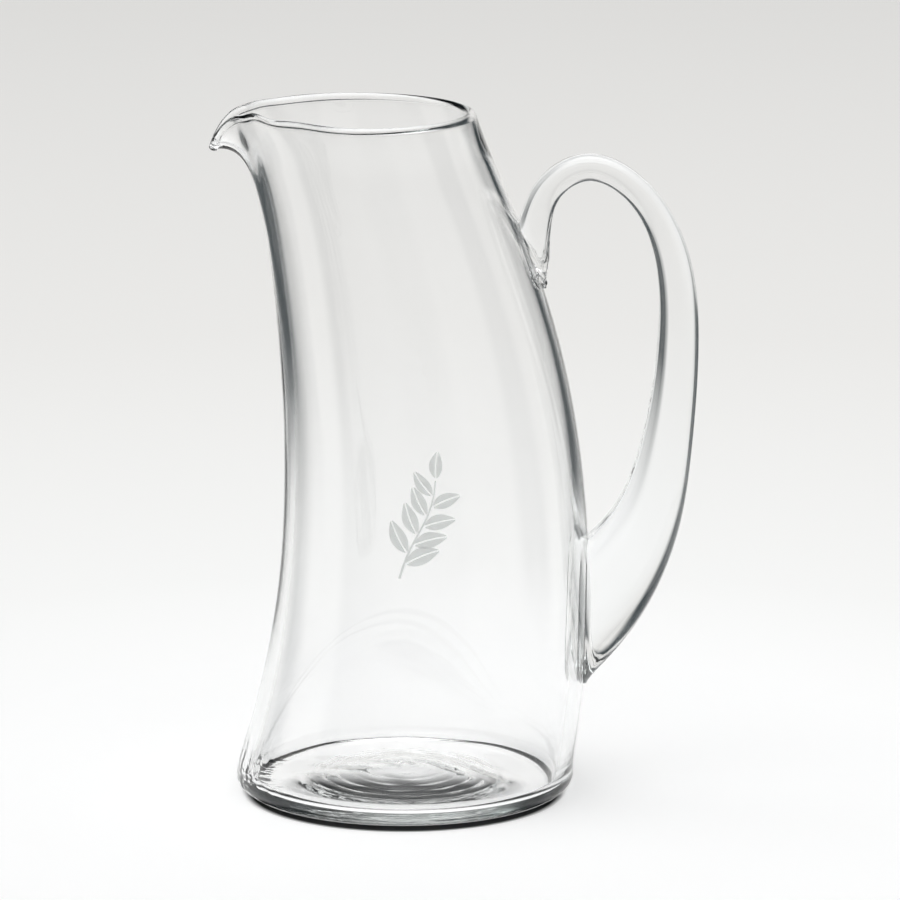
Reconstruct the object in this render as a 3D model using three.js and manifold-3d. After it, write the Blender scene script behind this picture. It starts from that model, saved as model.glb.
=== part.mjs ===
// Clear glass pitcher: a blown body bent towards its spout, and one drawn handle sealed to its back.
// Millimetres, +Z up, standing on z = 0. Spout towards -X, handle towards +X, mirror plane y = 0.

import * as THREE from "three";
import { mergeVertices } from "three/addons/utils/BufferGeometryUtils.js";
import Module from "manifold-3d";

// Wall line of the body
const bodyHeight = 267.5; // table to rim
const footRadius = 66.5; // outer wall line carried down to the table
const rimRadius = 44.7; // outer wall line carried up to the rim
const barrelSwell = 2.3; // swell of the wall outside a straight taper
const barrelSkew = 1.4; // above 1 puts the swell above mid height
const rimFlare = 1.8; // outward turn of the rim
const rimFlareLength = 24; // height over which the rim turns out

// Thickness of the glass
const baseWall = 5.6; // wall at the table end of the taper
const rimWall = 3.3; // wall at the rim, without its bead
const rimBead = 1; // inward swelling of the rim, which is rounded over
const beadLength = 6; // height over which the bead swells
const floorThickness = 4.8;
const floorCrown = 4.8; // rise of the floor's middle
const cornerRadius = 6; // inside corner between floor and wall
const heelRadius = 5.5; // outside corner between foot and wall
const puntRadius = 42; // hollow pushed up under the foot
const puntDepth = 5.2;

// Bend of the body's axis, in two arcs that meet upright at the belly
const bendStart = 9.6; // the foot below stays upright
const bendEase = 1; // softens the turn from the foot into the bend
const bellyHeight = 102.5;
const bellyShift = 12; // towards the handle
const rimLean = 19.2; // towards the spout

// Spout pulled out of the rim
const spoutLength = 50; // height of wall that the pull draws along
const spoutFlare = 0.6; // gentle swelling that leads into the pull
const flareShare = 0.4; // share of the pull's height that the swelling takes
const spoutReach = 10.2; // how far the lip then runs out
const reachPower = 4; // higher keeps the run closer to the rim
const spoutDrop = 14.5; // how far the lip turns down
const dropPower = 5;
const spoutWidth = 17; // channel
const lipWidth = 12; // turned-down part of the lip
const pinchDepth = 6; // shoulders squeezed in beside the channel
const pinchPower = 2;
const pinchAngle = THREE.MathUtils.degToRad(57);
const pinchSpread = THREE.MathUtils.degToRad(26);
const pinchLift = 1.2; // rim raised along the shoulders
const lobeLift = 0.9; // rim standing up where the channel begins
const lobeAngle = THREE.MathUtils.degToRad(28);
const lobeSpread = THREE.MathUtils.degToRad(9);

// Handle, drawn from the upper seal over the arch to the lower seal
const rodEndHeight = 52; // end of the rod's centre line, inside the lower seal
const archHeight = 245.4; // top of the rod's centre line
const gripReach = 54.1; // stand-off of the centre line from the wall, where it is greatest
const archWidth = 10.3; // thinnest section, in the mirror plane
const archDepth = 13; // and across it
const sealWidth = 36.4; // thickest section, at the lower seal
const sealDepth = 26;
// Stations along the centre line: rise from the rod's end to the arch, reach as a share of the grip's,
// and swell from the thinnest section to the thickest
const handleStations = [
  { rise: 0.703, reach: -0.124, swell: 0.05 },
  { rise: 0.791, reach: -0.033, swell: 0.085 },
  { rise: 0.879, reach: 0.1, swell: 0.065 },
  { rise: 0.951, reach: 0.287, swell: 0.02 },
  { rise: 1, reach: 0.636, swell: 0 },
  { rise: 0.951, reach: 0.933, swell: 0.005 },
  { rise: 0.833, reach: 1, swell: 0.105 },
  { rise: 0.631, reach: 0.834, swell: 0.226 },
  { rise: 0.44, reach: 0.628, swell: 0.365 },
  { rise: 0.274, reach: 0.41, swell: 0.655 },
  { rise: 0.171, reach: 0.185, swell: 0.93 },
  { rise: 0.078, reach: -0.055, swell: 1 },
  { rise: 0, reach: -0.296, swell: 0.95 },
];
const sealClearance = 0.3; // between the handle's seats and the wall

// Fineness of the surfaces
const aroundSteps = 64;
const spoutFocus = 0.58; // draws the steps around together at the spout
const puntSteps = 5;
const heelSteps = 4;
const wallSteps = 9; // from the foot to the spout's root
const spoutSteps = 9; // from the spout's root to the rim
const spoutCrowding = 1.3; // above 1 draws those together towards the rim
const rimSteps = 6;
const cornerSteps = 5;
const floorSteps = 4;
const handleSides = 20;
const handleSteps = 48;

const slopeStep = 0.01; // height between the two points that give the wall's direction

const rimRound = (rimWall + rimBead) / 2; // radius of the rounded rim
const rimTop = bodyHeight - rimRound; // height of its centre

const { clamp, lerp, smoothstep } = THREE.MathUtils;
const bell = (x) => Math.exp(-x * x);

// Outer radius of the upright body at a height
function wallRadius(height) {
  const share = clamp(height / bodyHeight, 0, 1);
  const swell = barrelSwell * Math.sin(Math.PI * share ** barrelSkew) ** 2;
  const flare = rimFlare * clamp(1 - (bodyHeight - height) / rimFlareLength, 0, 1) ** 2;
  return lerp(footRadius, rimRadius, share) + swell + flare;
}

function wallThickness(height) {
  const bead = rimBead * clamp(1 - (rimTop - height) / beadLength, 0, 1) ** 2;
  return lerp(baseWall, rimWall, clamp(height / rimTop, 0, 1)) + bead;
}

// Offset of the bent axis along X at a height: the arcs, eased to no offset below their start
function axisShift(height) {
  const below = height < bellyHeight;
  const rise = below ? bellyHeight - bendStart : bodyHeight - bellyHeight;
  const sag = below ? bellyShift : bellyShift + rimLean;
  const arcRadius = (rise ** 2 + sag ** 2) / (2 * sag);
  const arc = bellyShift - arcRadius + Math.sqrt(arcRadius ** 2 - (height - bellyHeight) ** 2);
  return below ? (arc + Math.hypot(arc, bendEase)) / 2 : arc;
}

// How far the pull moves the wall outwards and down, at an angle from the spout and a height
function spoutPull(angle, height) {
  const share = clamp(1 - (bodyHeight - height) / spoutLength, 0, 1);
  const channel = bell(angle / (spoutWidth / 2 / rimRadius));
  const lip = bell(angle / (lipWidth / 2 / rimRadius));
  const shoulder = bell((Math.abs(angle) - pinchAngle) / pinchSpread);
  const lobe = bell((Math.abs(angle) - lobeAngle) / lobeSpread);
  const lead = spoutFlare * smoothstep(share, 0, flareShare) + spoutReach * share ** reachPower;
  return {
    out: lead * channel - pinchDepth * share ** pinchPower * shoulder,
    drop: share ** dropPower * (spoutDrop * lip - lobeLift * lobe - pinchLift * shoulder),
  };
}

// Takes a point of the upright body of revolution to its place on the pulled and bent body.
// The wall keeps its thickness: it turns with the direction in which the pull runs.
function shape(radius, angle, height) {
  const level = Math.min(height, rimTop);
  const middle = wallRadius(level) - wallThickness(level) / 2;
  const nearWall = Math.min(1, (2 * radius) / middle); // the pull fades out before the axis
  const here = spoutPull(angle, level);
  const under = spoutPull(angle, level - slopeStep);
  const runOut = (here.out - under.out) * nearWall;
  const runUp = slopeStep - (here.drop - under.drop) * nearWall;
  const run = new THREE.Vector2(runOut, runUp).normalize();
  const across = radius - middle;
  const along = height - level;
  const distance = middle + here.out * nearWall + across * run.y + along * run.x;
  const z = level - here.drop * nearWall - across * run.x + along * run.y;
  return new THREE.Vector3(
    axisShift(height) - distance * Math.cos(angle),
    -distance * Math.sin(angle),
    z,
  );
}

// Revolves a profile of (radius, height) points, with more steps at the spout, and shapes it
function blow(profile) {
  const geometry = new THREE.LatheGeometry(profile, aroundSteps).rotateX(Math.PI / 2);
  geometry.deleteAttribute("normal");
  geometry.deleteAttribute("uv");
  const position = geometry.getAttribute("position");
  const point = new THREE.Vector3();
  for (let i = 0; i < position.count; i += 1) {
    point.fromBufferAttribute(position, i);
    const turn = Math.atan2(-point.y, -point.x);
    const angle = turn - spoutFocus * Math.sin(turn);
    const shaped = shape(Math.hypot(point.x, point.y), angle, point.z);
    position.setXYZ(i, shaped.x, shaped.y, shaped.z);
  }
  return mergeVertices(geometry);
}

// Points on a quarter or half round, from one angle to another
function arcPoints(centreX, centreY, radius, from, to, steps) {
  const points = [];
  for (let i = 0; i <= steps; i += 1) {
    const angle = lerp(from, to, i / steps);
    points.push(new THREE.Vector2(centreX + radius * Math.cos(angle), centreY + radius * Math.sin(angle)));
  }
  return points;
}

// Heights of the wall's rings, from one height up to the middle of the rounded rim
function wallHeights(from) {
  const root = bodyHeight - spoutLength;
  const heights = [];
  for (let i = 1; i <= wallSteps; i += 1) {
    heights.push(lerp(from, root, i / wallSteps));
  }
  for (let i = 1; i < spoutSteps; i += 1) {
    heights.push(lerp(root, rimTop, 1 - (1 - i / spoutSteps) ** spoutCrowding));
  }
  return heights;
}

// The same for the outside, with a ring where the bend begins
function outerHeights() {
  const upright = bendStart > heelRadius ? [bendStart] : [];
  return [...upright, ...wallHeights(Math.max(bendStart, heelRadius))];
}

// Foot, heel and outer wall, from the axis up to just under the rim
function outerProfile() {
  const points = [];
  for (let i = 0; i < puntSteps; i += 1) {
    const share = i / puntSteps;
    points.push(new THREE.Vector2(puntRadius * share, puntDepth * Math.cos((share * Math.PI) / 2) ** 2));
  }
  points.push(new THREE.Vector2(puntRadius, 0));
  const heelCentre = wallRadius(heelRadius) - heelRadius;
  points.push(...arcPoints(heelCentre, heelRadius, heelRadius, -Math.PI / 2, 0, heelSteps));
  for (const height of outerHeights()) {
    points.push(new THREE.Vector2(wallRadius(height), height));
  }
  return points;
}

// Inner wall, corner and floor, from just under the rim down to the axis
function innerProfile() {
  const innerRadius = (height) => wallRadius(height) - wallThickness(height);
  const cornerHeight = floorThickness + cornerRadius;
  const cornerCentre = innerRadius(cornerHeight) - cornerRadius;
  const points = [];
  for (const height of wallHeights(cornerHeight).reverse()) {
    points.push(new THREE.Vector2(innerRadius(height), height));
  }
  points.push(...arcPoints(cornerCentre, cornerHeight, cornerRadius, 0, -Math.PI / 2, cornerSteps));
  for (let i = 1; i <= floorSteps; i += 1) {
    const share = 1 - i / floorSteps;
    const crown = floorCrown * Math.cos((share * Math.PI) / 2) ** 2;
    points.push(new THREE.Vector2(cornerCentre * share, floorThickness + crown));
  }
  return points;
}

function bodyGeometry() {
  const rim = arcPoints(wallRadius(rimTop) - rimRound, rimTop, rimRound, 0, Math.PI, rimSteps);
  return blow([...outerProfile(), ...rim, ...innerProfile()]);
}

// The body without its hollow, grown by the seal's clearance, which trims the handle's ends
function sealGeometry() {
  const heights = [heelRadius, ...outerHeights(), rimTop];
  const wall = heights.map((height) => new THREE.Vector2(wallRadius(height) + sealClearance, height));
  return blow([new THREE.Vector2(0, heelRadius), ...wall, new THREE.Vector2(0, rimTop)]);
}

// Oval rod along the handle's centre line, before its ends are trimmed
function rodGeometry() {
  const centres = handleStations.map(({ rise, reach }) => {
    const height = lerp(rodEndHeight, archHeight, rise);
    return new THREE.Vector3(axisShift(height) + wallRadius(height) + gripReach * reach, 0, height);
  });
  const girths = handleStations.map(({ swell }) => {
    return new THREE.Vector3(lerp(archWidth, sealWidth, swell) / 2, lerp(archDepth, sealDepth, swell) / 2, 0);
  });
  const centreLine = new THREE.CatmullRomCurve3(centres);
  const girth = new THREE.CatmullRomCurve3(girths);
  const sideways = new THREE.Vector3(0, 1, 0);
  const geometry = new THREE.CylinderGeometry(1, 1, 1, handleSides, handleSteps);
  geometry.deleteAttribute("normal");
  geometry.deleteAttribute("uv");
  const position = geometry.getAttribute("position");
  for (let i = 0; i < position.count; i += 1) {
    const share = position.getY(i) + 0.5;
    const half = girth.getPoint(share);
    const inPlane = centreLine.getTangent(share).cross(sideways);
    const point = centreLine.getPoint(share);
    point.addScaledVector(inPlane, half.x * position.getX(i));
    point.addScaledVector(sideways, half.y * position.getZ(i));
    position.setXYZ(i, point.x, point.y, point.z);
  }
  return mergeVertices(geometry);
}

const wasm = await Module();
wasm.setup();

function toSolid(geometry) {
  const vertProperties = new Float32Array(geometry.getAttribute("position").array);
  const triVerts = new Uint32Array(geometry.getIndex().array);
  return new wasm.Manifold(new wasm.Mesh({ numProp: 3, vertProperties, triVerts }));
}

function toGeometry(solid) {
  const mesh = solid.getMesh();
  const geometry = new THREE.BufferGeometry();
  geometry.setAttribute("position", new THREE.BufferAttribute(mesh.vertProperties, 3));
  geometry.setIndex(new THREE.BufferAttribute(mesh.triVerts, 1));
  geometry.computeVertexNormals();
  return geometry;
}

function handleGeometry() {
  return toGeometry(toSolid(rodGeometry()).subtract(toSolid(sealGeometry())));
}

function glassMesh(name, geometry) {
  const glass = new THREE.MeshStandardMaterial({
    color: "#e6ebe9",
    roughness: 0.04,
    metalness: 0,
    transparent: true,
    opacity: 0.4,
  });
  const mesh = new THREE.Mesh(geometry, glass);
  mesh.name = name;
  return mesh;
}

const pitcher = new THREE.Group();
pitcher.add(glassMesh("body", bodyGeometry()));
pitcher.add(glassMesh("handle", handleGeometry()));

// The origin is on the table, under the middle of the whole pitcher
const extent = new THREE.Box3().setFromObject(pitcher, true);
pitcher.position.x = -(extent.min.x + extent.max.x) / 2;

export default pitcher;
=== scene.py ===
# Clear glass pitcher: a blown body that bends towards its spout, a drawn handle sealed to its back
# and a leaf sprig etched on its front. Shapes are worked out in millimetres, meshes are in metres.

import math

import bpy
import numpy as np
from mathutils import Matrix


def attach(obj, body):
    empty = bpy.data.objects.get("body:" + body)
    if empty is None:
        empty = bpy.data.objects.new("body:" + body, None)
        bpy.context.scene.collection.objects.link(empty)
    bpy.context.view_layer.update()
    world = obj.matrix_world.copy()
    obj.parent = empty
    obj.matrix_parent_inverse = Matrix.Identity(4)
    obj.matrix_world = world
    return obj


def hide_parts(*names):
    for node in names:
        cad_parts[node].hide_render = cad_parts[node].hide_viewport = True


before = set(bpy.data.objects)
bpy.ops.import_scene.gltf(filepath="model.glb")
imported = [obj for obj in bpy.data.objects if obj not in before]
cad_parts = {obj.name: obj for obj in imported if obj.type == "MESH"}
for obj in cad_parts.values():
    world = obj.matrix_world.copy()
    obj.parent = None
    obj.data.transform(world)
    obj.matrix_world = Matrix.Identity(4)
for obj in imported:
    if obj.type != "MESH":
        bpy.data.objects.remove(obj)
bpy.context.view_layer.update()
scene = bpy.context.scene
scene.view_settings.view_transform = "Standard"
print("frame loaded:", sorted(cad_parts))


# Camera at the photograph's place: straight in front, looking down on the pitcher
camera = {
    "place": (-0.00188, -2.418, 0.6525),  # metres
    "pitchDown": 12.1,  # degrees
    "lens": 254.5, "sensor": 36.0,  # millimetres
}

cameraData = bpy.data.cameras.new("front_camera")
cameraData.lens = camera["lens"]
cameraData.sensor_width = camera["sensor"]
cameraObject = bpy.data.objects.new("front_camera", cameraData)
cameraObject.location = camera["place"]
cameraObject.rotation_euler = (math.radians(90.0 - camera["pitchDown"]), 0.0, 0.0)
scene.collection.objects.link(cameraObject)
scene.camera = cameraObject
print("camera set")


# Small helpers for shapes

def bell(x):  # e to the power of minus x squared
    return np.exp(-x * x)


def share(x, low, high):  # 0 at low, 1 at high, held outside
    return np.clip((x - low) / (high - low), 0.0, 1.0)


def smoothShare(x, low, high):  # the same, eased at both ends by a cubic
    t = share(x, low, high)
    return t * t * (3.0 - 2.0 * t)


def plateau(x, begin, full, falling, end):  # 1 from full to falling, eased to 0 at begin and end
    return smoothShare(x, begin, full) * (1.0 - smoothShare(x, falling, end))


# Faces of a grid that closes around its columns and ends in a pole at either end.
# Rows run from the first pole to the last, and the face order follows the columns then the rows.
def poledFaces(rows, columns):
    here = np.arange(rows * columns).reshape(rows, columns)
    beside = np.roll(here, -1, axis=1)
    quads = np.stack([here[:-1], beside[:-1], beside[1:], here[1:]], axis=-1).reshape(-1, 4)
    first, last = rows * columns, rows * columns + 1
    start = np.stack([beside[0], here[0], np.full(columns, first)], axis=-1)
    end = np.stack([here[-1], beside[-1], np.full(columns, last)], axis=-1)
    return quads.tolist() + start.tolist() + end.tolist()


# Puts points in millimetres and faces into a smooth mesh object, with sharp edges kept
def addPiece(name, points, faces, material, sharpAngle=None):
    mesh = bpy.data.meshes.new(name)
    mesh.from_pydata(np.asarray(points) * 0.001, [], faces)
    mesh.polygons.foreach_set("use_smooth", np.ones(len(mesh.polygons), dtype=bool))
    if sharpAngle is not None:
        mesh.set_sharp_from_angle(angle=math.radians(sharpAngle))
    mesh.validate()
    mesh.update()
    mesh.materials.append(material)
    piece = bpy.data.objects.new(name, mesh)
    scene.collection.objects.link(piece)
    return piece


# Materials

def linear(hexCode):  # sRGB hex to linear colour
    values = [int(hexCode[i:i + 2], 16) / 255.0 for i in (1, 3, 5)]
    return [v / 12.92 if v <= 0.04045 else ((v + 0.055) / 1.055) ** 2.4 for v in values] + [1.0]


# Adds a node with its settings, and sets or links its inputs, by name or by number. A Mix node has its
# numbers at 2 and 3 and gives output 0, or its colours at 6 and 7 and gives output 2.
def addNode(tree, kind, inputs=None, **settings):
    node = tree.nodes.new(kind)
    for name, value in settings.items():
        setattr(node, name, value)
    for socket, value in (inputs or {}).items():
        if isinstance(value, bpy.types.NodeSocket):
            tree.links.new(value, node.inputs[socket])
        else:
            node.inputs[socket].default_value = value
    return node


def newMaterial(name):  # with an empty node tree, which comes with it
    material = bpy.data.materials.new(name)
    material.use_nodes = True
    material.node_tree.nodes.clear()
    return material, material.node_tree


# Soda-lime glass, blown and fire-polished: clear and glossy, with a faint cool tint in its depth
glass = {
    "ior": 1.5,
    "depthColour": "#dfe9e6",
    "depthDensity": 3.0,  # per metre
}

blownGlass, tree = newMaterial("soda_lime_glass_blown")
glassShader = addNode(tree, "ShaderNodeBsdfPrincipled", {
    "Base Color": linear("#ffffff"),
    "Roughness": 0.0,
    "IOR": glass["ior"],
    "Transmission Weight": 1.0,
})
glassDepth = addNode(tree, "ShaderNodeVolumeAbsorption", {
    "Color": linear(glass["depthColour"]),
    "Density": glass["depthDensity"],
})
addNode(tree, "ShaderNodeOutputMaterial", {
    "Surface": glassShader.outputs["BSDF"],
    "Volume": glassDepth.outputs["Volume"],
})


# The same glass, etched: a frosted skin that scatters light, with a fine grain from the blasting
etching = {
    "colour": "#fbfdfc",
    "roughness": 0.5,
    "transmission": 0.78,
    "grain": 0.5,  # millimetres, drawn coarser than real grit so that it shows
    "grainDetail": 2.0, "grainMix": 0.6,
    "grainBump": 0.25, "grainDepth": 0.1,  # depth in millimetres
}

etchedGlass, tree = newMaterial("soda_lime_glass_etched")
place = addNode(tree, "ShaderNodeTexCoord").outputs["Object"]
grain = addNode(tree, "ShaderNodeTexNoise", {
    "Vector": place,
    "Scale": 1000.0 / etching["grain"],
    "Detail": etching["grainDetail"],
    "Roughness": etching["grainMix"],
})
grainBump = addNode(tree, "ShaderNodeBump", {
    "Height": grain.outputs["Fac"],
    "Strength": etching["grainBump"],
    "Distance": 0.001 * etching["grainDepth"],
})
etchedShader = addNode(tree, "ShaderNodeBsdfPrincipled", {
    "Base Color": linear(etching["colour"]),
    "Roughness": etching["roughness"],
    "IOR": glass["ior"],
    "Transmission Weight": etching["transmission"],
    "Normal": grainBump.outputs["Normal"],
})
addNode(tree, "ShaderNodeOutputMaterial", {"Surface": etchedShader.outputs["BSDF"]})


# Painted shade where the hot handle was pressed on to the wall: a dark, uneven film that stands in for the
# dark line that reflections draw along the joint
seam = {
    "colour": "#16181a",
    "roughness": 0.35,
    "transmission": 0.25,
    "spots": 1.6,  # millimetres, pale spots painted as glints of small bubbles
    "spotDetail": 3.0, "spotRange": (0.48, 0.70), "paintedGlints": "#6c7071",
    "tip": 4.5,  # millimetres of painted seam shade above the lower seat's end
    "bare": 8.0,  # millimetres of clear glass under the top of each seat
}

seamPaintedShade, tree = newMaterial("soda_lime_glass_painted_seam_shade")
place = addNode(tree, "ShaderNodeTexCoord").outputs["Object"]
spots = addNode(tree, "ShaderNodeTexNoise", {
    "Vector": place,
    "Scale": 1000.0 / seam["spots"],
    "Detail": seam["spotDetail"],
})
spotShare = addNode(tree, "ShaderNodeMapRange", {
    "Value": spots.outputs["Fac"],
    "From Min": seam["spotRange"][0],
    "From Max": seam["spotRange"][1],
})
seamColour = addNode(tree, "ShaderNodeMix", {
    "Factor": spotShare.outputs[0], 6: linear(seam["colour"]), 7: linear(seam["paintedGlints"]),
}, data_type="RGBA")
seamShader = addNode(tree, "ShaderNodeBsdfPrincipled", {
    "Base Color": seamColour.outputs[2],
    "Roughness": seam["roughness"],
    "IOR": glass["ior"],
    "Transmission Weight": seam["transmission"],
})
addNode(tree, "ShaderNodeOutputMaterial", {"Surface": seamShader.outputs["BSDF"]})


# Body

body = {  # millimetres, and degrees from the spout
    "height": 267.5, "footRadius": 66.5, "rimRadius": 44.7,
    "barrelSwell": 2.3, "barrelSkew": 1.4, "rimFlare": 1.8, "rimFlareLength": 24.0,
    "baseWall": 5.6, "rimWall": 3.3, "lipThin": 0.9, "lipLength": 18.0,
    "rimBead": 1.1, "beadLength": 1.15,
    "floorThickness": 3.7, "floorCrown": 5.7, "cornerRadius": 5.0,
    "heelRadius": 5.5, "puntRadius": 42.0, "puntDepth": 5.2,
    "bendStart": 9.6, "bendEase": 1.0, "bellyHeight": 102.5, "bellyShift": 12.0, "rimLean": 19.2,
    "spoutLength": 50.0, "spoutFlare": 0.6, "flareShare": 0.4, "spoutReach": 10.2, "reachPower": 4,
    "spoutDrop": 14.5, "dropPower": 5, "spoutWidth": 17.0, "lipWidth": 12.0,
    "pinchDepth": 6.0, "pinchPower": 2, "pinchAngle": 57.0, "pinchSpread": 26.0,
    "pinchLift": 1.2, "nearLobe": 2.4, "farLobe": 0.5, "lobeAngle": 28.0, "lobeSpread": 9.0,
    "columns": 288, "spoutFocus": 0.5,  # columns drawn together at the spout
    "puntRows": 52, "ringRows": 8, "heelRows": 16, "outerRows": 44, "upperRows": 37,
    "rimRows": 19, "innerRows": 42, "cornerRows": 18, "floorRows": 40,
    "upperFocus": 2.2,  # rows drawn together under the rim
}
blownMarks = {  # heights of the marks, and where they fade in and out, in millimetres
    "waveInside": 0.10, "waveOutside": 0.03,  # slow unevenness of the blown wall
    # weight of each wave, its count around, its rise and its phase
    "waves": [(1.0, 3.0, 19.0, 0.0), (1.0, 5.0, -27.0, 1.3), (0.7, 11.0, 60.0, 0.4)],
    "waveFade": (12.0, 40.0, 225.0, 255.0),
    "ringHeight": 0.17, "ringPitch": 5.2, "ringEdge": 3.0,  # tool rings in the punt
    "ringSwing": 0.7, "ringPhase": 0.6, "ringFade": (6.0, 14.0, 38.0, 42.0),
    "floorWave": 0.12, "floorPitch": 13.0, "floorHeading": 0.7, "floorSwing": 1.5,
    "floorFade": (30.0, 50.0),
    "crinkle": 0.16, "crinkleSpread": 26.0,  # degrees of the heel under the spout
    "crinkleLengths": (5.0, 12.0), "crinkleFade": (0.5, 3.5, 8.0, 15.0),
    "crinkleFrom": 53.0,  # radius on the floor
}
rimRound = (body["rimWall"] - body["lipThin"] + body["rimBead"]) / 2.0
rimTop = body["height"] - rimRound

# The foot's centre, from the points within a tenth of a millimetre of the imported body's lowest
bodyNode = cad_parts["body"].data
nodePoints = np.empty(len(bodyNode.vertices) * 3)
bodyNode.vertices.foreach_get("co", nodePoints)
nodePoints = nodePoints.reshape(-1, 3)
footRing = nodePoints[nodePoints[:, 2] < nodePoints[:, 2].min() + 0.0001]
footCentre = 1000.0 * (footRing[:, 0].min() + footRing[:, 0].max()) / 2.0
print("foot centre at x = %.3f mm" % footCentre)


# Outer radius of the upright body: a straight taper, a swell that is a squared sine, and a rim flare
def wallRadius(height):
    s = np.clip(height / body["height"], 0.0, 1.0)
    swell = body["barrelSwell"] * np.sin(np.pi * s ** body["barrelSkew"]) ** 2
    flare = body["rimFlare"] * share(height, body["height"] - body["rimFlareLength"], body["height"]) ** 2
    return body["footRadius"] + (body["rimRadius"] - body["footRadius"]) * s + swell + flare


# Thickness: a straight taper that thins to the lip, and a bead under the rim that is an eased step
def wallThickness(height):
    taper = body["baseWall"] + (body["rimWall"] - body["baseWall"]) * share(height, 0.0, rimTop)
    lip = body["lipThin"] * smoothShare(height, rimTop - body["lipLength"], rimTop - body["beadLength"])
    bead = body["rimBead"] * smoothShare(height, rimTop - body["beadLength"], rimTop)
    return taper - lip + bead


def innerRadius(height):  # the outer radius less the thickness
    return wallRadius(height) - wallThickness(height)


# Offset of the bent axis: two circular arcs that meet upright at the belly, eased out at the foot
def axisShift(height):
    below = height < body["bellyHeight"]
    rise = np.where(below, body["bellyHeight"] - body["bendStart"], body["height"] - body["bellyHeight"])
    sag = np.where(below, body["bellyShift"], body["bellyShift"] + body["rimLean"])
    arcRadius = (rise ** 2 + sag ** 2) / (2.0 * sag)
    arc = body["bellyShift"] - arcRadius + np.sqrt(arcRadius ** 2 - (height - body["bellyHeight"]) ** 2)
    return np.where(below, (arc + np.hypot(arc, body["bendEase"])) / 2.0, arc)


# How far the pull moves the wall out and down: bells around the spout, times powers of the height
def spoutPull(angle, height):
    s = share(height, body["height"] - body["spoutLength"], body["height"])
    side = np.abs(angle)
    channel = bell(angle / (body["spoutWidth"] / 2.0 / body["rimRadius"]))
    lip = bell(angle / (body["lipWidth"] / 2.0 / body["rimRadius"]))
    shoulder = bell((side - math.radians(body["pinchAngle"])) / math.radians(body["pinchSpread"]))
    lobe = bell((side - math.radians(body["lobeAngle"])) / math.radians(body["lobeSpread"]))
    lead = body["spoutFlare"] * smoothShare(s, 0.0, body["flareShare"])
    lead = lead + body["spoutReach"] * s ** body["reachPower"]
    out = lead * channel - body["pinchDepth"] * s ** body["pinchPower"] * shoulder
    lobeLift = np.where(angle > 0.0, body["nearLobe"], body["farLobe"])
    raised = lobeLift * lobe + body["pinchLift"] * shoulder
    drop = s ** body["dropPower"] * (body["spoutDrop"] * lip - raised)
    return out, drop


# Takes points of the upright body of revolution to the pulled and bent body. The wall turns with
# the direction in which the pull runs, so it keeps its thickness. The pull dies away towards the axis,
# from half of the wall's radius.
def shapeBody(radius, angle, height):
    step = 0.01
    level = np.minimum(height, rimTop)
    middle = wallRadius(level) - wallThickness(level) / 2.0
    nearWall = np.minimum(1.0, 2.0 * radius / middle)
    out, drop = spoutPull(angle, level)
    outUnder, dropUnder = spoutPull(angle, level - step)
    runOut = (out - outUnder) * nearWall
    runUp = step - (drop - dropUnder) * nearWall
    runLength = np.hypot(runOut, runUp)
    runOut, runUp = runOut / runLength, runUp / runLength
    across = radius - middle
    along = height - level
    distance = middle + out * nearWall + across * runUp + along * runOut
    x = footCentre + axisShift(height) - distance * np.cos(angle)
    y = -distance * np.sin(angle)
    z = level - drop * nearWall - across * runOut + along * runUp
    return np.stack([x, y, z], axis=-1)


# Profile of the wall as radius and height, from the middle of the foot over the rim to the floor's
# middle: punt, foot ring, heel arc, outer wall, half-round rim, inner wall, corner arc and floor.
# Punt and floor are squared cosines. The name of each point's stretch comes with it.
def bodyProfile():
    root = body["height"] - body["spoutLength"]
    t = np.linspace(0.0, 1.0, body["puntRows"])[1:]
    punt = np.stack([body["puntRadius"] * t, body["puntDepth"] * np.cos(t * np.pi / 2.0) ** 2])
    heelCentre = wallRadius(body["heelRadius"]) - body["heelRadius"]
    t = np.linspace(0.0, 1.0, body["ringRows"])[1:-1]
    ring = np.stack([body["puntRadius"] + (heelCentre - body["puntRadius"]) * t, 0.0 * t])
    t = np.linspace(-np.pi / 2.0, 0.0, body["heelRows"])
    heel = np.stack([heelCentre + body["heelRadius"] * np.cos(t), body["heelRadius"] * (1.0 + np.sin(t))])
    t = np.linspace(0.0, 1.0, body["upperRows"])[1:-1]
    upperHeights = root + (rimTop - root) * (1.0 - (1.0 - t) ** body["upperFocus"])
    lowerHeights = np.linspace(body["heelRadius"], root, body["outerRows"])[1:]
    outerHeights = np.concatenate([lowerHeights, upperHeights])
    outer = np.stack([wallRadius(outerHeights), outerHeights])
    t = np.linspace(0.0, np.pi, body["rimRows"])
    rim = np.stack([wallRadius(rimTop) + rimRound * (np.cos(t) - 1.0), rimTop + rimRound * np.sin(t)])
    cornerHeight = body["floorThickness"] + body["cornerRadius"]
    lowerHeights = np.linspace(cornerHeight, root, body["innerRows"])[1:]
    innerHeights = np.concatenate([lowerHeights, upperHeights])[::-1]
    inner = np.stack([innerRadius(innerHeights), innerHeights])
    cornerCentre = innerRadius(cornerHeight) - body["cornerRadius"]
    t = np.linspace(0.0, np.pi / 2.0, body["cornerRows"])
    corner = np.stack([cornerCentre + body["cornerRadius"] * np.cos(t),
                       cornerHeight - body["cornerRadius"] * np.sin(t)])
    t = np.linspace(1.0, 0.0, body["floorRows"])[1:-1]
    floor = np.stack([cornerCentre * t,
                      body["floorThickness"] + body["floorCrown"] * np.cos(t * np.pi / 2.0) ** 2])
    stretches = {"punt": punt, "ring": ring, "heel": heel, "outer": outer,
                 "rim": rim, "inner": inner, "corner": corner, "floor": floor}
    names = [np.full(part.shape[1], name) for name, part in stretches.items()]
    return np.concatenate(list(stretches.values()), axis=1), np.concatenate(names)


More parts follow.
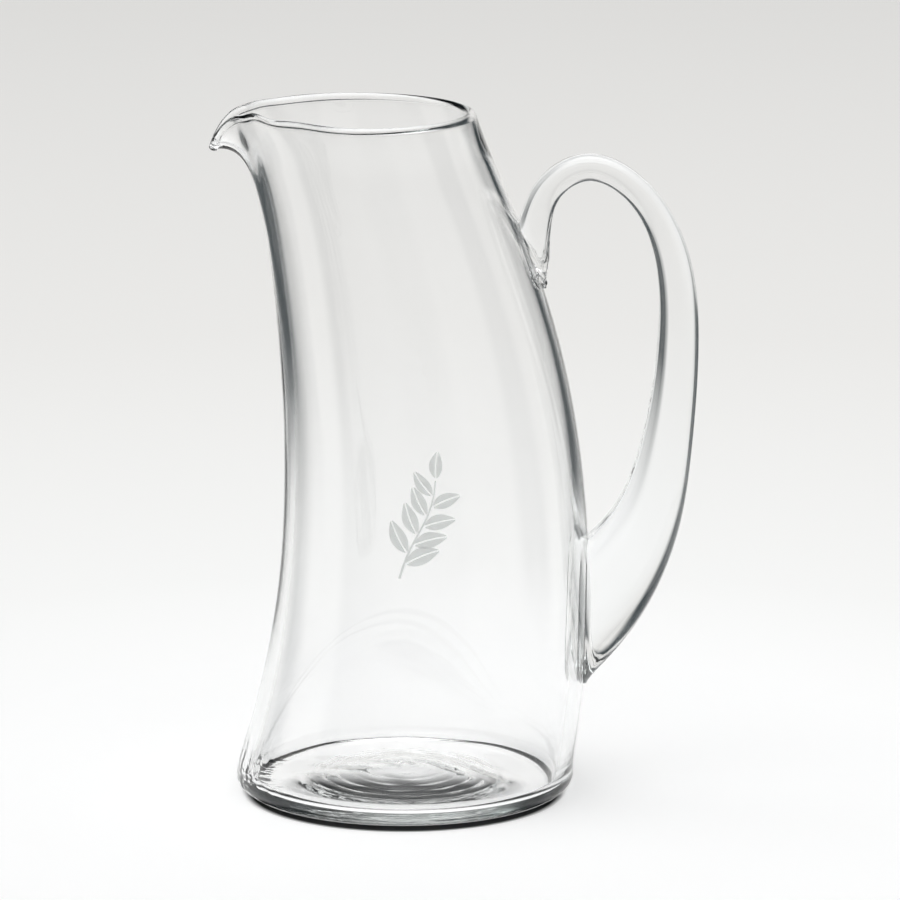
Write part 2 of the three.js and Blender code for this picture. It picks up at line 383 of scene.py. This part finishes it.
# Irregular ripples: plane waves of random heading, phase and length between two bounds, added up
def randomWaves(x, y, shortest, longest, count=14, seed=7):
    random = np.random.default_rng(seed)
    total = 0.0
    for heading, phase, lengthShare in random.random((count, 3)):
        length = shortest + (longest - shortest) * lengthShare
        along = x * math.cos(2.0 * np.pi * heading) + y * math.sin(2.0 * np.pi * heading)
        total = total + np.sin(2.0 * np.pi * (along / length + phase))
    return total / math.sqrt(count / 2.0)


# Marks of the making, as a lift along the surface: slow waves around and up the blown walls, rings in
# the punt with sharp crests, long waves on the floor, and small irregular ripples in the heel under
# the spout. Each fades out to the ends of its own stretch of height or radius.
def marksOfMaking(radius, angle, height, stretch):
    marks = blownMarks
    slow = 0.0
    for weight, count, rise, phase in marks["waves"]:
        slow = slow + weight * np.sin(count * angle + height / rise + phase)
    slow = slow / sum(wave[0] for wave in marks["waves"])
    wave = np.where(stretch == "outer", marks["waveOutside"], 0.0)
    wave = np.where(stretch == "inner", marks["waveInside"], wave)
    lift = wave * slow * plateau(height, *marks["waveFade"])

    phase = 2.0 * np.pi * radius / marks["ringPitch"]
    phase = phase + marks["ringSwing"] * np.sin(2.0 * angle + marks["ringPhase"])
    rings = marks["ringHeight"] * np.exp(marks["ringEdge"] * (np.cos(phase) - 1.0))
    rings = rings * plateau(radius, *marks["ringFade"])
    lift = lift + np.where(stretch == "punt", rings, 0.0)

    sway = 2.0 * np.pi * radius * np.cos(angle - marks["floorHeading"]) / marks["floorPitch"]
    sway = sway + marks["floorSwing"] * np.sin(3.0 * angle)
    floorWave = marks["floorWave"] * np.sin(sway) * (1.0 - smoothShare(radius, *marks["floorFade"]))
    lift = lift + np.where(stretch == "floor", floorWave, 0.0)

    nearSpout = bell(angle / math.radians(marks["crinkleSpread"])) * plateau(height, *marks["crinkleFade"])
    ripple = randomWaves(angle * body["footRadius"], height + radius, *marks["crinkleLengths"])
    rippled = np.isin(stretch, ("heel", "inner", "corner"))
    rippled = rippled | ((stretch == "floor") & (radius > marks["crinkleFrom"]))
    return lift + np.where(rippled, marks["crinkle"] * ripple * nearSpout, 0.0)


# Moves a grid's points along its own normals, which come from the differences to the points beside
def liftAlongNormals(grid, lift):
    across = np.roll(grid, -1, axis=1) - np.roll(grid, 1, axis=1)
    along = np.gradient(grid, axis=0)
    normal = np.cross(across, along)
    normal = normal / np.maximum(np.linalg.norm(normal, axis=-1, keepdims=True), 1e-9)
    return grid + normal * lift[..., None]


profile, stretch = bodyProfile()
radii, heights = profile[:, :, None]
turn = np.linspace(-np.pi, np.pi, body["columns"], endpoint=False)
around = (turn - body["spoutFocus"] * np.sin(turn))[None, :]
bodyGrid = shapeBody(radii, around, heights)
bodyGrid = liftAlongNormals(bodyGrid, marksOfMaking(radii, around, heights, stretch[:, None]))
poleHeights = np.array([body["puntDepth"], body["floorThickness"] + body["floorCrown"]])
bodyPoles = shapeBody(np.zeros(2), np.zeros(2), poleHeights)
bodyPoints = np.concatenate([bodyGrid.reshape(-1, 3), bodyPoles])
blownBody = addPiece("blown_body", bodyPoints, poledFaces(len(stretch), body["columns"]), blownGlass)
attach(blownBody, "root")
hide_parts("body")
print("body blown: %d points" % len(bodyPoints))


# Handle

handle = {  # millimetres
    "rodEndHeight": 52.0, "archHeight": 245.4, "gripReach": 54.1,
    "archWidth": 10.3, "archDepth": 13.0, "sealWidth": 36.4, "sealDepth": 26.0,
    # rise from the rod's end to the arch, reach as a share of the grip's, swell from thinnest to thickest
    "stations": [
        (0.703, -0.124, 0.05), (0.791, -0.033, 0.085), (0.879, 0.1, 0.065), (0.951, 0.287, 0.02),
        (1.0, 0.636, 0.0), (0.951, 0.933, 0.005), (0.833, 1.0, 0.105), (0.631, 0.834, 0.226),
        (0.44, 0.628, 0.365), (0.274, 0.41, 0.655), (0.171, 0.185, 0.93), (0.078, -0.055, 1.0),
        (0.0, -0.296, 0.95),
    ],
    "squareness": 3.0,  # 2 is an oval strap, more has flatter faces
    "flare": 1.2, "flareLength": 2.0,  # hem where the seats spread on the wall
    "crumple": 0.8, "crumpleHeight": 197.0, "crumpleSpread": 9.0, "crumpleReach": 4.0,  # upper tail
    "foldLength": 1.3, "puckerLength": 2.1,
    "upperShare": 0.3, "tailFrom": 210.0, "tailShare": 0.62,  # the upper tail is pressed shorter
    "drawLines": 0.02, "drawCounts": (17.0, 29.0), "drawTwist": 3.0,  # fine lines along the drawn rod
    "sealGap": 0.05,  # air film between seat and wall
    "sides": 96, "rows": 300, "rowFocus": 0.12,  # rows drawn together at both seats
    "capRings": 10, "sharpAngle": 50.0,
}


# Smooth curve through points: cubic spans whose second slopes match where they meet and are none at the
# ends. The spans are as long as the straight lines between the points, or as those of other points.
def throughPoints(points, where, spacedAs=None):
    points = np.asarray(points, dtype=float)
    spaced = points if spacedAs is None else np.asarray(spacedAs, dtype=float)
    knots = np.concatenate([[0.0], np.cumsum(np.linalg.norm(np.diff(spaced, axis=0), axis=1))])
    knots = knots / knots[-1]
    gap = np.diff(knots)
    slope = np.diff(points, axis=0) / gap[:, None]
    inner = np.arange(1, len(points) - 1)
    system = np.eye(len(points))
    system[inner, inner - 1] = gap[:-1]
    system[inner, inner] = 2.0 * (gap[:-1] + gap[1:])
    system[inner, inner + 1] = gap[1:]
    change = np.zeros_like(points)
    change[1:-1] = 6.0 * (slope[1:] - slope[:-1])
    bend = np.linalg.solve(system, change)
    where = np.asarray(where)
    span = np.clip(np.searchsorted(knots, where, side="right") - 1, 0, len(gap) - 1)
    w = (where - knots[span])[..., None]
    long = gap[span][..., None]
    first = slope[span] - long * (2.0 * bend[span] + bend[span + 1]) / 6.0
    third = (bend[span + 1] - bend[span]) / (6.0 * long)
    return points[span] + first * w + bend[span] * w ** 2 / 2.0 + third * w ** 3


rise, reach, swell = np.array(handle["stations"]).T
stationHeights = handle["rodEndHeight"] + (handle["archHeight"] - handle["rodEndHeight"]) * rise
stationX = footCentre + axisShift(stationHeights) + wallRadius(stationHeights)
stationX = stationX + handle["gripReach"] * reach
handleCentres = np.stack([stationX, 0.0 * stationX, stationHeights], axis=-1)
handleGirths = np.stack([
    handle["archWidth"] + (handle["sealWidth"] - handle["archWidth"]) * swell,
    handle["archDepth"] + (handle["sealDepth"] - handle["archDepth"]) * swell,
], axis=-1) / 2.0


# Point of the rod: its centre line plus a section across the tangent in the mirror plane. The section
# is a rounded rectangle: cosine and sine of the angle to a power, times the half sizes grown by a hem.
def rodPoint(where, side, hem=0.0):
    step = 0.0005
    centre = throughPoints(handleCentres, where)
    tangent = throughPoints(handleCentres, where + step) - throughPoints(handleCentres, where - step)
    tangent = tangent / np.linalg.norm(tangent, axis=-1, keepdims=True)
    half = throughPoints(handleGirths, where, spacedAs=handleCentres)
    inPlane = np.stack([-tangent[..., 2], 0.0 * tangent[..., 0], tangent[..., 0]], axis=-1)
    power = 2.0 / handle["squareness"]
    wide = np.sign(np.cos(side)) * np.abs(np.cos(side)) ** power
    deep = np.sign(np.sin(side)) * np.abs(np.sin(side)) ** power
    point = centre + inPlane * ((half[..., 0] + hem) * wide)[..., None]
    point[..., 1] -= (half[..., 1] + hem) * deep
    return point


# Distance of points from the body's outer wall, measured level
def offWall(point):
    height = point[..., 2]
    return np.hypot(point[..., 0] - footCentre - axisShift(height), point[..., 1]) - wallRadius(height)


# Angle of points around the bent axis, counted from the spout through a whole turn
def wallAngle(point):
    fromAxis = point[..., 0] - footCentre - axisShift(point[..., 2])
    return np.mod(np.arctan2(-point[..., 1], -fromAxis), 2.0 * np.pi)


# Point on the wall, lifted off it, at an angle from the spout and a height
def onWall(angle, height, lift):
    distance = wallRadius(height) + lift
    x = footCentre + axisShift(height) - distance * np.cos(angle)
    return np.stack([x, -distance * np.sin(angle), height], axis=-1)


# Where each fibre of the rod leaves the wall and comes back to it: the first and the last change of
# sign of its distance from the wall, found between close tries by a straight line
def fibreEnds(side):
    tries = 2400
    where = np.linspace(0.001, 0.999, tries)
    fibres = rodPoint(np.broadcast_to(where[:, None], (tries, len(side))), side[None, :])
    clear = offWall(fibres) - handle["sealGap"]
    outside = clear > 0.0
    columns = np.arange(len(side))
    first = np.argmax(outside, axis=0)
    last = tries - 1 - np.argmax(outside[::-1], axis=0)
    before, after = clear[first - 1, columns], clear[first, columns]
    start = where[first - 1] + (where[1] - where[0]) * before / (before - after)
    before, after = clear[last, columns], clear[last + 1, columns]
    end = where[last] + (where[1] - where[0]) * before / (before - after)
    return start, end


# Rings of a seat that shrink from the rod's end to the seat's middle, all lying on the wall
def seatRings(loop, inwards):
    angle = wallAngle(loop)
    middle = (loop[:, 2].min() + loop[:, 2].max()) / 2.0
    t = inwards[:, None]
    ringAngle = angle + (np.pi - angle) * t
    ringHeight = loop[:, 2] + (middle - loop[:, 2]) * t
    return onWall(ringAngle, ringHeight, handle["sealGap"]), onWall(np.pi, middle, handle["sealGap"])


side = np.linspace(0.0, 2.0 * np.pi, handle["sides"], endpoint=False)
start, end = fibreEnds(side)
t = np.linspace(0.0, 1.0, handle["rows"])
t = t - handle["rowFocus"] * np.sin(2.0 * np.pi * t)
rodWhere = start + (end - start) * t[:, None]
rodSide = np.broadcast_to(side, rodWhere.shape)
rodRows = rodPoint(rodWhere, rodSide)

# The seats spread in a hem that dies away off the wall, the upper tail is crumpled, and fine lines
# run along the rod. Points that the hem takes into the wall are set back on it, and the upper tail
# is pressed shorter.
standOff = offWall(rodRows)
rodHeight = rodRows[..., 2]
hem = handle["flare"] * np.exp(-standOff / handle["flareLength"])
tail = bell((rodHeight - handle["crumpleHeight"]) / handle["crumpleSpread"])
tail = tail * np.exp(-standOff / handle["crumpleReach"])
folds = np.sin(rodHeight / handle["foldLength"] + 2.0 * np.sin(3.0 * rodSide))
folds = folds * np.sin(4.0 * rodSide + rodHeight / handle["puckerLength"])
hem = hem + handle["crumple"] * tail * folds
wideLines = np.sin(handle["drawCounts"][0] * rodSide + handle["drawTwist"] * rodWhere)
fineLines = np.sin(handle["drawCounts"][1] * rodSide)
hem = hem + handle["drawLines"] * (wideLines + fineLines)
rodRows = rodPoint(rodWhere, rodSide, hem)
rodHeight = rodRows[..., 2]
rodLift = np.maximum(offWall(rodRows), handle["sealGap"])
rodLift[[0, -1]] = handle["sealGap"]
onUpperTail = rodWhere < handle["upperShare"]
belowTail = np.where(onUpperTail, np.maximum(handle["tailFrom"] - rodHeight, 0.0), 0.0)
rodRows = onWall(wallAngle(rodRows), rodHeight + (1.0 - handle["tailShare"]) * belowTail, rodLift)
shrink = np.linspace(0.0, 1.0, handle["capRings"] + 1)[1:-1]
upperRings, upperPole = seatRings(rodRows[0], shrink[::-1])
lowerRings, lowerPole = seatRings(rodRows[-1], shrink)
handleGrid = np.concatenate([upperRings, rodRows, lowerRings])
handlePoints = np.concatenate([handleGrid.reshape(-1, 3), [upperPole, lowerPole]])
drawnHandle = addPiece("drawn_handle", handlePoints, poledFaces(len(handleGrid), handle["sides"]),
                       blownGlass, handle["sharpAngle"])

# The painted seam shade lies on the outermost ring of both seats, apart from their tops, and on the lower
# seat's tip
drawnHandle.data.materials.append(seamPaintedShade)
upperRow = len(upperRings) - 1
lowerRow = upperRow + len(rodRows)
rowHeights = handleGrid[:-1, :, 2]
onSeamShade = np.zeros(rowHeights.shape, dtype=bool)
onSeamShade[upperRow] = rowHeights[upperRow] < rodRows[0, :, 2].max() - seam["bare"]
onSeamShade[lowerRow] = rowHeights[lowerRow] < rodRows[-1, :, 2].max() - seam["bare"]
onSeamShade[lowerRow:] |= rowHeights[lowerRow:] < rodRows[-1, :, 2].min() + seam["tip"]
materialIndex = np.zeros(len(drawnHandle.data.polygons), dtype=np.int32)
materialIndex[:onSeamShade.size] = onSeamShade.ravel()
drawnHandle.data.polygons.foreach_set("material_index", materialIndex)
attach(drawnHandle, "root")
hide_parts("handle")
print("handle drawn: %d points" % len(handlePoints))


# Etched sprig

sprig = {  # millimetres and degrees
    "centre": (-2.6, 121.5),  # along the wall from the front, and height
    "stem": [(-11.0, -25.0), (-7.0, -14.0), (-1.5, -4.0), (2.5, 5.5), (4.0, 13.0)],
    "stemWidth": 0.95, "stemTaper": 0.45, "stemRows": 60, "stemColumns": 5,
    "leaves": 9, "leafLength": 14.5, "leafWidth": 3.1, "leafAngle": 48.0, "midrib": 0.55,
    "leafFrom": 0.14, "leafSpan": 0.80,  # shares of the stem
    "leafShrink": 0.28, "leafGap": 0.9,
    "bladeEnds": (0.015, 0.985), "bladeLean": 0.85, "bladeFullness": 0.9, "bladeBend": 0.16,
    "bladeRows": 26, "bladeColumns": 7,
    "liftLow": 0.03, "liftHigh": 0.10,  # the frosted skin stands this far off the wall
    "sharpAngle": 40.0,
}


# Faces of two grids of one shape, an outer and an inner skin, closed by a strip around their edge
def slabFaces(rows, columns, first):
    skin = np.arange(rows * columns).reshape(rows, columns) + first
    quads = np.stack([skin[:-1, :-1], skin[:-1, 1:], skin[1:, 1:], skin[1:, :-1]], axis=-1)
    quads = quads.reshape(-1, 4)
    under = quads[:, [0, 3, 2, 1]] + rows * columns
    edge = np.concatenate([skin[0, :-1], skin[:-1, -1], skin[-1, :0:-1], skin[:0:-1, 0]])
    follow = np.roll(edge, -1)
    strip = np.stack([follow, edge, edge + rows * columns, follow + rows * columns], axis=-1)
    return np.concatenate([quads, under, strip]).tolist()


# Half a leaf blade, on one hand of its midrib: length along the blade, and from the rib to an edge
# that swells as a power of a sine and leans to the base. The blade bends as a parabola.
def halfBlade(base, heading, length, width, hand):
    u = np.linspace(*sprig["bladeEnds"], sprig["bladeRows"])[:, None]
    v = np.linspace(0.0, 1.0, sprig["bladeColumns"])[None, :]
    edge = width * np.sin(np.pi * u ** sprig["bladeLean"]) ** sprig["bladeFullness"]
    bend = sprig["bladeBend"] * length * (u - u ** 2)
    along = length * u + 0.0 * v
    across = hand * (sprig["midrib"] / 2.0 + edge * v) + bend
    a = base[0] + along * math.cos(heading) - across * math.sin(heading)
    h = base[1] + along * math.sin(heading) + across * math.cos(heading)
    return a, h


# Lifts a flat grid on to the front wall as an outer and an inner skin
def ontoFront(a, h):
    height = sprig["centre"][1] + h
    angle = np.pi / 2.0 + (sprig["centre"][0] + a) / wallRadius(height)
    skins = [onWall(angle, height, sprig[lift]) for lift in ("liftHigh", "liftLow")]
    return np.concatenate([skin.reshape(-1, 3) for skin in skins])


# Flat patches of the sprig: the stem is a strip along its curve that tapers, and each leaf is two half
# blades. The leaves stand on either hand in turn, with one at the end.
def sprigPatches():
    stemAlong = np.linspace(0.0, 1.0, sprig["stemRows"])
    stemLine = throughPoints(sprig["stem"], stemAlong)
    stemRun = np.gradient(stemLine, axis=0)
    stemRun = stemRun / np.linalg.norm(stemRun, axis=1, keepdims=True)
    half = sprig["stemWidth"] / 2.0 * (1.0 - sprig["stemTaper"] * stemAlong)
    v = np.linspace(-1.0, 1.0, sprig["stemColumns"])
    yield (stemLine[:, 0, None] - stemRun[:, 1, None] * half[:, None] * v,
           stemLine[:, 1, None] + stemRun[:, 0, None] * half[:, None] * v)
    step = 0.01
    final = sprig["leaves"] - 1
    for i in range(sprig["leaves"]):
        where = 1.0 if i == final else sprig["leafFrom"] + sprig["leafSpan"] * i / final
        before, base = throughPoints(sprig["stem"], np.array([where - step, where]))
        heading = math.atan2(base[1] - before[1], base[0] - before[0])
        if i != final:
            heading = heading + (1 if i % 2 else -1) * math.radians(sprig["leafAngle"])
        size = 1.0 - sprig["leafShrink"] * where
        base = base + sprig["leafGap"] * np.array([math.cos(heading), math.sin(heading)])
        for hand in (-1, 1):
            yield halfBlade(base, heading, sprig["leafLength"] * size, sprig["leafWidth"] * size, hand)


sprigPoints, sprigFaces = [], []
for a, h in sprigPatches():
    faces = slabFaces(*a.shape, sum(len(p) for p in sprigPoints))
    sprigPoints.append(ontoFront(a, h))
    facing = (a[1, 0] - a[0, 0]) * (h[0, 1] - h[0, 0]) - (h[1, 0] - h[0, 0]) * (a[0, 1] - a[0, 0])
    sprigFaces += [f[::-1] for f in faces] if facing > 0.0 else faces
etchedSprig = addPiece("etched_sprig", np.concatenate(sprigPoints), sprigFaces,
                       etchedGlass, sprig["sharpAngle"])
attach(etchedSprig, "root")
print("sprig etched: %d faces" % len(sprigFaces))


# Floor and surroundings. The floor is pale paper with a painted pool of light: its colour is white by
# the pitcher and greyer further off. A ring of cards lies around it with clear lines of sight between
# them.
# Only the glass sees the cards, and they draw its edges, as black cards beside the table do in a studio.
stage = {  # metres and degrees
    "radius": 15.0, "drop": 0.00015, "rings": 9, "sides": 64,
    # distance from the middle, and colour: a painted pool of light, white by the pitcher and greyer
    # further off
    "paper": [(0.0, "#ffffff"), (0.2, "#ffffff"), (0.37, "#f7f7f6"), (0.93, "#ebeae8"),
              (2.2, "#dddcda"), (4.5, "#e6e5e3")],
    "shade": "#303131",  # shadow of the foot, which falls to the front
    "contactShift": 0.0080, "contact": (0.0600, 0.0642), "footRing": (0.0600, 0.0620),
    "hollow": (0.0365, 0.0405), "hollowFront": (-0.017, 0.009),
    "gathered": 0.50, "gatherEdge": (0.0605, 0.0670),  # light that the foot gathers on the paper
    "glow": 0.28, "glowReach": 0.110,
    "cards": "#222e33", "cardRing": 0.20, "cardLift": 0.0004,
    "cardFrom": 0.15, "cardFull": 0.72, "cardRise": 1.4, "cardShare": 0.92,
    "clearLines": [(0.0, 17.0, 27.0), (-90.0, 13.0, 22.0), (135.0, 16.0, 26.0), (74.0, 8.0, 18.0)],
    "nearLine": (-45.0, 8.0, 14.0), "nearEnd": (0.55, 0.66),  # clear only on the near floor
    "frontShare": 0.3, "frontFade": (-0.9, -0.3),  # weak cards in front
}
sky = {
    "horizon": "#e6e5e3",
    "lowDark": "#3c4244",
    "lowFrom": 15.0, "lowTo": 21.0,  # degrees
    "zenith": 1.90,
    "riseFrom": 35.0, "riseTo": 56.0,
}


# Share of card in a level direction, as nodes: none near the clear lines, which are given by their angle
# to the right of straight behind and by where the cards begin and are full beside them. Weak in front.
def cardShare(tree, vector, clearLines):
    level = addNode(tree, "ShaderNodeVectorMath", {0: vector, 1: (1.0, 1.0, 0.0)}, operation="MULTIPLY")
    unit = addNode(tree, "ShaderNodeVectorMath", {0: level.outputs[0]}, operation="NORMALIZE").outputs[0]
    parts = addNode(tree, "ShaderNodeSeparateXYZ", {"Vector": unit})
    cards = addNode(tree, "ShaderNodeMapRange", {
        "Value": parts.outputs["Y"],
        "From Min": stage["frontFade"][0], "From Max": stage["frontFade"][1],
        "To Min": stage["frontShare"],
    })
    for heading, begin, full in clearLines:
        line = (math.sin(math.radians(heading)), math.cos(math.radians(heading)), 0.0)
        towards = addNode(tree, "ShaderNodeVectorMath", {0: unit, 1: line}, operation="DOT_PRODUCT")
        beside = addNode(tree, "ShaderNodeMapRange", {
            "Value": towards.outputs["Value"],
            "From Min": math.cos(math.radians(full)), "From Max": math.cos(math.radians(begin)),
            "To Min": 1.0, "To Max": 0.0,
        }, interpolation_type="SMOOTHSTEP")
        cards = addNode(tree, "ShaderNodeMath", {
            0: cards.outputs[0], 1: beside.outputs[0],
        }, operation="MULTIPLY")
    return cards.outputs[0]


# Painted pool of light: colour of the paper by the distance from the origin, white by the pitcher and
# greyer further off
def paintedFalloffColour(tree, place):
    distance = addNode(tree, "ShaderNodeVectorMath", {0: place}, operation="LENGTH").outputs["Value"]
    toRamp = addNode(tree, "ShaderNodeMath", {0: distance, 1: stage["paper"][-1][0]}, operation="DIVIDE")
    ramp = addNode(tree, "ShaderNodeValToRGB", {"Fac": toRamp.outputs[0]})
    while len(ramp.color_ramp.elements) < len(stage["paper"]):
        ramp.color_ramp.elements.new(0.5)
    for element, (reachHere, colour) in zip(ramp.color_ramp.elements, stage["paper"]):
        element.position = reachHere / stage["paper"][-1][0]
        element.color = linear(colour)
    return ramp.outputs["Color"], distance


# Paper, matt and uncoated: white, with the foot's shadow and the light that the glass gathers under it
paper, tree = newMaterial("matt_studio_paper")
place = addNode(tree, "ShaderNodeTexCoord").outputs["Object"]
paintedFalloffTone, _ = paintedFalloffColour(tree, place)
fromFoot = addNode(tree, "ShaderNodeVectorMath", {
    0: place, 1: (footCentre * 0.001, 0.0, 0.0),
}, operation="SUBTRACT").outputs[0]
footDistance = addNode(tree, "ShaderNodeVectorMath", {0: fromFoot}, operation="LENGTH").outputs["Value"]
footParts = addNode(tree, "ShaderNodeSeparateXYZ", {"Vector": fromFoot})
fromShadow = addNode(tree, "ShaderNodeVectorMath", {
    0: fromFoot, 1: (0.0, stage["contactShift"], 0.0),
}, operation="ADD")
shadowDistance = addNode(tree, "ShaderNodeVectorMath", {0: fromShadow.outputs[0]}, operation="LENGTH")
contactOut = addNode(tree, "ShaderNodeMapRange", {
    "Value": shadowDistance.outputs["Value"],
    "From Min": stage["contact"][0], "From Max": stage["contact"][1],
    "To Min": 1.0, "To Max": 0.0,
}, interpolation_type="SMOOTHSTEP")
offRing = addNode(tree, "ShaderNodeMapRange", {
    "Value": footDistance, "From Min": stage["footRing"][0], "From Max": stage["footRing"][1],
})
contact = addNode(tree, "ShaderNodeMath", {
    0: offRing.outputs[0], 1: contactOut.outputs[0],
}, operation="MULTIPLY")
inHollow = addNode(tree, "ShaderNodeMapRange", {
    "Value": footDistance, "From Min": stage["hollow"][0], "From Max": stage["hollow"][1],
    "To Min": 1.0, "To Max": 0.0,
}, interpolation_type="SMOOTHSTEP")
atFront = addNode(tree, "ShaderNodeMapRange", {
    "Value": footParts.outputs["Y"],
    "From Min": stage["hollowFront"][0], "From Max": stage["hollowFront"][1],
    "To Min": 1.0, "To Max": 0.0,
}, interpolation_type="SMOOTHSTEP")
underHollow = addNode(tree, "ShaderNodeMath", {
    0: inHollow.outputs[0], 1: atFront.outputs[0],
}, operation="MULTIPLY")
shaded = addNode(tree, "ShaderNodeMath", {
    0: contact.outputs[0], 1: underHollow.outputs[0],
}, operation="MAXIMUM")
floorColour = addNode(tree, "ShaderNodeMix", {
    "Factor": shaded.outputs[0], 6: paintedFalloffTone, 7: linear(stage["shade"]),
}, data_type="RGBA")
underFoot = addNode(tree, "ShaderNodeMapRange", {
    "Value": footDistance, "From Min": stage["gatherEdge"][0], "From Max": stage["gatherEdge"][1],
    "To Min": stage["gathered"], "To Max": 0.0,
})
# The glow falls off as a bell of the distance
reachShare = addNode(tree, "ShaderNodeMath", {0: footDistance, 1: stage["glowReach"]}, operation="DIVIDE")
reachSquare = addNode(tree, "ShaderNodeMath", {
    0: reachShare.outputs[0], 1: reachShare.outputs[0],
}, operation="MULTIPLY")
fall = addNode(tree, "ShaderNodeMath", {0: math.exp(-1.0), 1: reachSquare.outputs[0]}, operation="POWER")
gathered = addNode(tree, "ShaderNodeMath", {
    0: fall.outputs[0], 1: stage["glow"], 2: underFoot.outputs[0],
}, operation="MULTIPLY_ADD")
unshaded = addNode(tree, "ShaderNodeMath", {0: 1.0, 1: shaded.outputs[0]}, operation="SUBTRACT")
strength = addNode(tree, "ShaderNodeMath", {
    0: gathered.outputs[0], 1: unshaded.outputs[0],
}, operation="MULTIPLY")
paperShader = addNode(tree, "ShaderNodeBsdfDiffuse", {"Color": floorColour.outputs[2]})
gatheredLight = addNode(tree, "ShaderNodeEmission", {
    "Color": linear("#ffffff"), "Strength": strength.outputs[0],
})
litPaper = addNode(tree, "ShaderNodeAddShader", {0: paperShader.outputs[0], 1: gatheredLight.outputs[0]})
addNode(tree, "ShaderNodeOutputMaterial", {"Surface": litPaper.outputs[0]})

# Card, matt black: darkens the paper's colour towards the middle of each card, and outwards. One more
# line of sight is clear on the near floor.
card, tree = newMaterial("matt_black_card")
place = addNode(tree, "ShaderNodeTexCoord").outputs["Object"]
paintedFalloffTone, distance = paintedFalloffColour(tree, place)
outwards = addNode(tree, "ShaderNodeMapRange", {
    "Value": distance, "From Min": stage["cardFrom"], "From Max": stage["cardFull"],
})
risen = addNode(tree, "ShaderNodeMath", {0: outwards.outputs[0], 1: stage["cardRise"]}, operation="POWER")
cardHere = addNode(tree, "ShaderNodeMath", {
    0: risen.outputs[0], 1: stage["cardShare"],
}, operation="MULTIPLY")
farther = addNode(tree, "ShaderNodeMapRange", {
    "Value": distance, "From Min": stage["nearEnd"][0], "From Max": stage["nearEnd"][1],
})
shareHere = addNode(tree, "ShaderNodeMix", {
    0: farther.outputs[0],
    2: cardShare(tree, place, stage["clearLines"] + [stage["nearLine"]]),
    3: cardShare(tree, place, stage["clearLines"]),
}, data_type="FLOAT")
onCard = addNode(tree, "ShaderNodeMath", {
    0: shareHere.outputs[0], 1: cardHere.outputs[0],
}, operation="MULTIPLY")
cardColour = addNode(tree, "ShaderNodeMix", {
    "Factor": onCard.outputs[0], 6: paintedFalloffTone, 7: linear(stage["cards"]),
}, data_type="RGBA")
cardShader = addNode(tree, "ShaderNodeBsdfDiffuse", {"Color": cardColour.outputs[2]})
addNode(tree, "ShaderNodeOutputMaterial", {"Surface": cardShader.outputs[0]})


# Level rings around the origin, as points in millimetres: each radius times the cosine and the sine
def levelRings(radii, height):
    compass = np.linspace(0.0, 2.0 * np.pi, stage["sides"], endpoint=False)
    reach = radii[:, None]
    rings = [reach * np.cos(compass), reach * np.sin(compass), 0.0 * reach * compass + height]
    return 1000.0 * np.stack(rings, axis=-1)


ringShares = np.linspace(0.0, 1.0, stage["rings"]) ** 2
floorGrid = levelRings(stage["radius"] * ringShares[1:], -stage["drop"])
floorPoints = np.concatenate([floorGrid.reshape(-1, 3), [[0.0, 0.0, -1000.0 * stage["drop"]]]])
floorFaces = [f for f in poledFaces(*floorGrid.shape[:2]) if max(f) < len(floorPoints)]
studioFloor = addPiece("studio_floor", floorPoints, floorFaces, paper)

cardRadii = stage["cardRing"] + (stage["radius"] - stage["cardRing"]) * ringShares
cardGrid = levelRings(cardRadii, stage["cardLift"])
cardFaces = [f for f in poledFaces(*cardGrid.shape[:2]) if len(f) == 4]
cardRing = addPiece("card_ring", cardGrid.reshape(-1, 3), cardFaces, card)
cardRing.visible_camera = False
cardRing.visible_diffuse = False
cardRing.visible_shadow = False

world = bpy.data.worlds.new("studio")
world.use_nodes = True
scene.world = world
tree = world.node_tree
tree.nodes.clear()
direction = addNode(tree, "ShaderNodeTexCoord").outputs["Generated"]
parts = addNode(tree, "ShaderNodeSeparateXYZ", {"Vector": direction})
elevation = addNode(tree, "ShaderNodeMath", {0: parts.outputs["Z"]}, operation="ARCSINE").outputs[0]
lowColour = addNode(tree, "ShaderNodeMix", {
    "Factor": cardShare(tree, direction, stage["clearLines"]),
    6: linear(sky["horizon"]),
    7: linear(stage["cards"]),
}, data_type="RGBA")
lowMask = addNode(tree, "ShaderNodeMapRange", {
    "Value": elevation, "From Min": math.radians(sky["lowFrom"]), "From Max": math.radians(sky["lowTo"]),
}, interpolation_type="SMOOTHSTEP")
midColour = addNode(tree, "ShaderNodeMix", {
    "Factor": lowMask.outputs[0], 6: lowColour.outputs[2], 7: linear(sky["lowDark"]),
}, data_type="RGBA")
topMask = addNode(tree, "ShaderNodeMapRange", {
    "Value": elevation,
    "From Min": math.radians(sky["riseFrom"]), "From Max": math.radians(sky["riseTo"]),
}, interpolation_type="SMOOTHSTEP")
skyColour = addNode(tree, "ShaderNodeMix", {
    "Factor": topMask.outputs[0], 6: midColour.outputs[2], 7: [sky["zenith"]] * 3 + [1.0],
}, data_type="RGBA")
skyShader = addNode(tree, "ShaderNodeBackground", {"Color": skyColour.outputs[2]})
addNode(tree, "ShaderNodeOutputWorld", {"Surface": skyShader.outputs["Background"]})
print("stage set")


# Light passes many walls of glass
scene.cycles.max_bounces = 24
scene.cycles.transmission_bounces = 24
scene.cycles.glossy_bounces = 12
